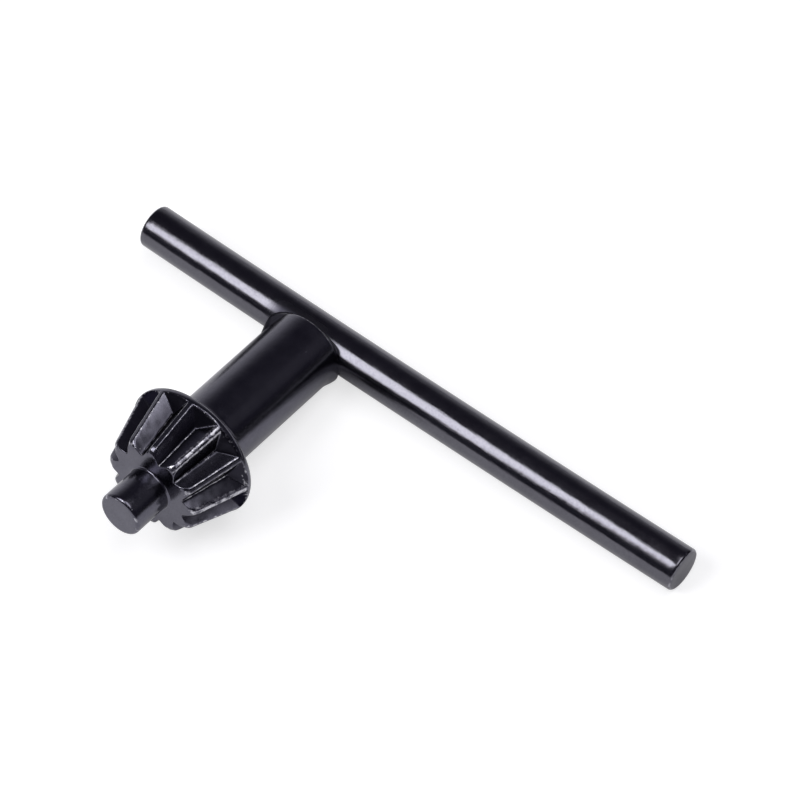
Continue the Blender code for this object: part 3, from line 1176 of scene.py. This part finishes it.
@dataclass
class Studio:
    """A pale floor, soft lamps, a black card and the camera.

    Attributes:
        floor_size: Side of the floor, in metres.
        floor_colour: Colour of the floor paper.
        matt: Roughness of the floor paper.
        lift: Strength of white that the camera adds to the paper.
        mirrored: Share of that lift that mirrored and refracted rays add.
        contact_shade_reach: Distance within which shade is painted onto that mirrored lift near the key, in
            metres.
        contact_shade_samples: Number of rays by which that painted shade is found at each point of the paper.
        flag_bearing: Direction to the black card, from +X towards +Y, in degrees.
        flag_away: Distance to the card, in metres.
        flag_width: Width of the card.
        flag_height: Height of the card.
        flag_colour: Colour of the card's felt.
        room_colour: Colour of the dim room between the lamps.
        wall_glow: Brightness that a pale wall behind the set adds to the room.
        wall_bearing: Direction to that wall, from +X towards +Y, in degrees.
        wall_width: Cosines of the angle from that direction at which the wall starts and is full.
        wall_fade: Heights at which the wall is full and has faded, in degrees.
        target: Point that the camera's axis meets.
        turn: Turn of the camera round the key, where 0 looks along +Y and 90 along -X, in degrees.
        rise: Height of the camera above the floor's plane, in degrees.
        roll: Roll of the camera, in degrees.
        away: Distance of the camera from the target.
        lens: Focal length, in millimetres.
        sensor: Width of the sensor, in millimetres.
        nearest: Distance from which the camera sees, in metres.
        lamps: The soft lamps.
    """

    floor_size: float = 12.0
    floor_colour: str = "#C0C0C2"
    matt: float = 0.9
    lift: float = 0.68
    mirrored: float = 0.86
    contact_shade_reach: float = 0.012
    contact_shade_samples: int = 8
    flag_bearing: float = 36.0
    flag_away: float = 0.1
    flag_width: float = 0.09
    flag_height: float = 0.02
    flag_colour: str = "#3C3C40"
    room_colour: str = "#43414E"
    wall_glow: float = 0.9
    wall_bearing: float = 150.0
    wall_width: tuple[float, float] = (0.45, 1.0)
    wall_fade: tuple[float, float] = (-5.0, 44.0)
    target: tuple[float, float, float] = (-0.0003, 0.016244, 0.0045)
    turn: float = 42.198
    rise: float = 56.968
    roll: float = -4.808
    away: float = 0.500757
    lens: float = 180.0
    sensor: float = 36.0
    nearest: float = 0.01
    lamps: tuple[SoftBox, ...] = field(
        default_factory=lambda: (
            SoftBox("key_softbox", -124.0, 52.0, 0.7, 0.30, 0.45, 5.8),
            SoftBox("overhead_softbox", 10.0, 75.0, 0.9, 0.78, 0.50, 2.6),
            SoftBox("fill_panel", 48.0, 30.0, 0.9, 0.42, 0.36, 0.09),
        )
    )

    def build(self) -> None:
        """Lays the floor, stands the card, hangs the lamps, sets the dim room and places the camera."""
        self.floor()
        self.flag()
        for lamp in self.lamps:
            lamp.hang()
        self.room()
        self.camera()
        bpy.context.scene.view_settings.view_transform = "Standard"

    def floor(self) -> None:
        """Lays a sheet of pale paper under the key, which camera and mirrored rays see lifted towards white;
        near the key the mirrored lift has painted shade.
        """
        half = self.floor_size / 2
        corners = [(-half, -half, 0.0), (half, -half, 0.0), (half, half, 0.0), (-half, half, 0.0)]
        mesh = bpy.data.meshes.new("floor_paper")
        mesh.from_pydata(corners, [], [(0, 1, 2, 3)])
        floor = bpy.data.objects.new("floor_paper", mesh)
        bpy.context.scene.collection.objects.link(floor)
        # Uncoated white paper, smoothed by rollers: wholly matt, so the key's shadow lies on it softly
        paper = bpy.data.materials.new("matt_white_paper")
        paper.use_nodes = True
        tree = paper.node_tree
        shader = tree.nodes["Principled BSDF"]
        shader.inputs["Base Color"].default_value = linear(self.floor_colour)
        shader.inputs["Roughness"].default_value = self.matt
        shader.inputs["Emission Color"].default_value = linear(WHITE)
        ray = add_node(tree, "ShaderNodeLightPath").outputs
        kinds = {0: ray["Is Glossy Ray"], 1: ray["Is Transmission Ray"]}
        passed = add_node(tree, "ShaderNodeMath", {"operation": "ADD"}, kinds).outputs[0]
        # Painted shade: ambient occlusion darkens the mirrored lift on the paper near the key
        settings, reach = {"samples": self.contact_shade_samples}, {"Distance": self.contact_shade_reach}
        clear = add_node(tree, "ShaderNodeAmbientOcclusion", settings, reach).outputs["AO"]
        product = {"operation": "MULTIPLY"}
        dimmed = add_node(tree, "ShaderNodeMath", product, {0: clear, 1: self.mirrored}).outputs[0]
        part = {0: passed, 1: dimmed, 2: ray["Is Camera Ray"]}
        seen = add_node(tree, "ShaderNodeMath", {"operation": "MULTIPLY_ADD"}, part).outputs[0]
        lift = add_node(tree, "ShaderNodeMath", product, {0: seen, 1: self.lift}).outputs[0]
        tree.links.new(lift, shader.inputs["Emission Strength"])
        floor.data.materials.append(paper)

    def flag(self) -> None:
        """Stands a black card beside the set, seen only in the steel's reflections, so that the shank mirrors
        a painted dark there instead of the far floor.
        """
        bearing = math.radians(self.flag_bearing)
        out = Vector((math.cos(bearing), math.sin(bearing), 0.0))
        across = Vector((-out.y, out.x, 0.0)) * self.flag_width / 2
        middle, up = out * self.flag_away, Vector((0.0, 0.0, self.flag_height))
        corners = [middle - across, middle + across, middle + across + up, middle - across + up]
        mesh = bpy.data.meshes.new("black_card")
        mesh.from_pydata(corners, [], [(0, 1, 2, 3)])
        card = bpy.data.objects.new("black_card", mesh)
        bpy.context.scene.collection.objects.link(card)
        # Hidden from the camera, from diffuse light and from shadows, the card only paints a dark reflection
        # into the steel
        card.visible_camera = card.visible_diffuse = card.visible_shadow = False
        # Pressed wool felt: dark and without any gloss, so the steel mirrors an even black there
        felt = bpy.data.materials.new("black_pressed_felt")
        felt.use_nodes = True
        shader = felt.node_tree.nodes["Principled BSDF"]
        shader.inputs["Base Color"].default_value = linear(self.flag_colour)
        shader.inputs["Roughness"].default_value = 1.0
        card.data.materials.append(felt)

    def room(self) -> None:
        """Sets the dim room that the polished steel shows between the lamps, with its pale wall."""
        world = bpy.data.worlds.new("studio_room")
        bpy.context.scene.world = world
        world.use_nodes = True
        tree = world.node_tree
        tree.nodes["Background"].inputs["Color"].default_value = linear(self.room_colour)
        out = add_node(tree, "ShaderNodeTexCoord").outputs["Generated"]
        bearing = math.radians(self.wall_bearing)
        wall = (math.cos(bearing), math.sin(bearing), 0.0)
        facing = {0: out, 1: wall}
        beside = add_node(tree, "ShaderNodeVectorMath", {"operation": "DOT_PRODUCT"}, facing).outputs["Value"]
        above = add_node(tree, "ShaderNodeSeparateXYZ", inputs={"Vector": out}).outputs["Z"]
        low, high = (math.sin(math.radians(angle)) for angle in self.wall_fade)
        rise, side = (
            add_node(
                tree,
                "ShaderNodeMapRange",
                {"interpolation_type": "SMOOTHSTEP"},
                dict(zip(RANGE_INPUTS, ends)),
            ).outputs["Result"]
            for ends in ((above, low, high, self.wall_glow, 0.0), (beside, *self.wall_width, 0.0, 1.0))
        )
        glow = add_node(tree, "ShaderNodeMath", {"operation": "MULTIPLY"}, {0: rise, 1: side}).outputs[0]
        pale = add_node(tree, "ShaderNodeEmission", inputs={"Strength": glow}).outputs[0]
        dim = tree.nodes["Background"].outputs[0]
        both = add_node(tree, "ShaderNodeAddShader", inputs={0: pale, 1: dim}).outputs[0]
        tree.links.new(both, tree.nodes["World Output"].inputs["Surface"])

    def camera(self) -> None:
        """Places the camera at the photograph's angle."""
        lens = bpy.data.cameras.new("camera")
        lens.lens = self.lens
        lens.sensor_width = self.sensor
        lens.clip_start = self.nearest
        camera = bpy.data.objects.new("camera", lens)
        bpy.context.scene.collection.objects.link(camera)
        bpy.context.scene.camera = camera
        turn, rise = math.radians(self.turn), math.radians(self.rise)
        back = Vector((math.sin(turn) * math.cos(rise), -math.cos(turn) * math.cos(rise), math.sin(rise)))
        level = Vector((0.0, 0.0, 1.0)).cross(back).normalized()
        upright = Matrix((level, back.cross(level), back)).transposed().to_4x4()
        tilt = Matrix.Rotation(math.radians(self.roll), 4, "Z")
        camera.matrix_world = Matrix.Translation(Vector(self.target) + back * self.away) @ upright @ tilt


def main() -> None:
    """Builds the key's pieces and the studio."""
    logging.basicConfig(level=logging.INFO, format="%(name)s: %(message)s")
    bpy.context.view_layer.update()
    forging = PinionShank()
    axes = KeyAxes.from_record(frame["record"], "pilot_end", -forging.tip)
    for part in (forging, Crossbar(), WeldBead()):
        piece = part.build(axes)
        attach(piece, ROOT_BODY)
        LOG.info("%s: %d faces", piece.name, len(piece.data.polygons))
    Studio().build()


if __name__ == "__main__":
    main()
